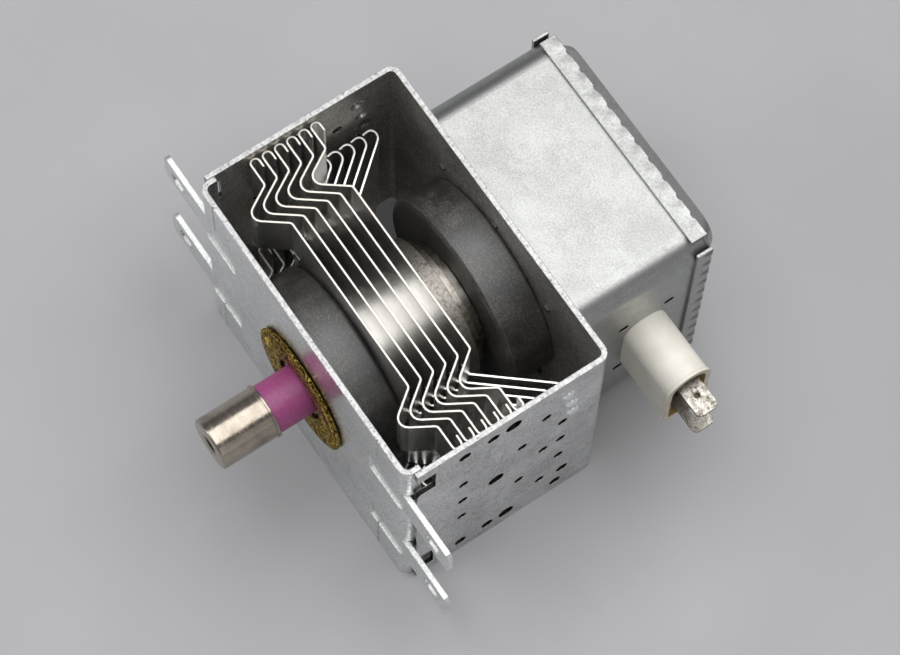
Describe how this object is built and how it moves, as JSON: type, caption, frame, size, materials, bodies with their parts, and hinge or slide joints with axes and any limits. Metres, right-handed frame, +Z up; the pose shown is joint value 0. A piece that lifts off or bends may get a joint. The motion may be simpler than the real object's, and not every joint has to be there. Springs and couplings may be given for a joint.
{
  "type": "magnetron",
  "caption": "Oven magnetron: finned vacuum tube between ring magnets in an open steel yoke, with a capped antenna, slotted mounting lugs and a closed filter box with a shrouded tab connector.",
  "frame": {"origin": "where the antenna axis crosses the mounting face of the front plate, midway between the four lug slots", "axes": "+X across the yoke towards the connector's side, +Y along the antenna axis from the antenna to the filter box, +Z up through the yoke's open side"},
  "size_m": [0.1246, 0.1261, 0.075],
  "materials": {
    "galvanised_steel": "zinc-coated sheet with a fine spangle",
    "fin_aluminium": "bright rolled aluminium strip",
    "ferrite": "matt sintered ferrite with light scuffs",
    "plated_copper": "bright plated copper",
    "copper": "plain copper",
    "pole_iron": "pressed soft iron",
    "seal_steel": "drawn steel with brazing stains",
    "pink_ceramic": "glazed purple-pink alumina",
    "nickel_plate": "nickel-plated drawn cap",
    "brass_mesh": "knitted brass wire",
    "tungsten": "drawn wire",
    "molybdenum": "drawn rod and turned discs",
    "white_ceramic": "sintered alumina",
    "filter_steel": "zinc-coated thin sheet, satin",
    "enamelled_wire": "enamelled copper wire",
    "capacitor_ceramic": "resin-potted ceramic",
    "cream_plastic": "moulded cream resin",
    "tinned_brass": "tinned brass strip, worn"
  },
  "bodies": {
    "root": {"yoke_channel": "galvanised_steel", "front_plate": "galvanised_steel", "front_magnet": "ferrite", "rear_magnet": "ferrite", "fin_1": "fin_aluminium", "fin_2": "fin_aluminium", "fin_3": "fin_aluminium", "fin_4": "fin_aluminium", "fin_5": "fin_aluminium", "fin_6": "fin_aluminium", "anode_cylinder": "plated_copper", "anode_vanes": "copper", "strap_rings": "copper", "front_pole_piece": "pole_iron", "rear_pole_piece": "pole_iron", "antenna_seal": "seal_steel", "cathode_seal": "seal_steel", "antenna_ceramic": "pink_ceramic", "antenna_cap": "nickel_plate", "exhaust_tube": "copper", "antenna_lead": "copper", "rf_gasket": "brass_mesh", "filament": "tungsten", "front_end_shield": "molybdenum", "rear_end_shield": "molybdenum", "centre_lead": "molybdenum", "side_lead": "molybdenum", "stem_ceramic": "white_ceramic", "filter_box": "filter_steel", "filter_cover": "filter_steel", "upper_choke_coil": "enamelled_wire", "lower_choke_coil": "enamelled_wire", "upper_choke_core": "ferrite", "lower_choke_core": "ferrite", "capacitor_plate": "galvanised_steel", "capacitor_body": "capacitor_ceramic", "connector_shroud": "cream_plastic", "upper_terminal": "tinned_brass", "lower_terminal": "tinned_brass"}
  },
  "joints": []
}
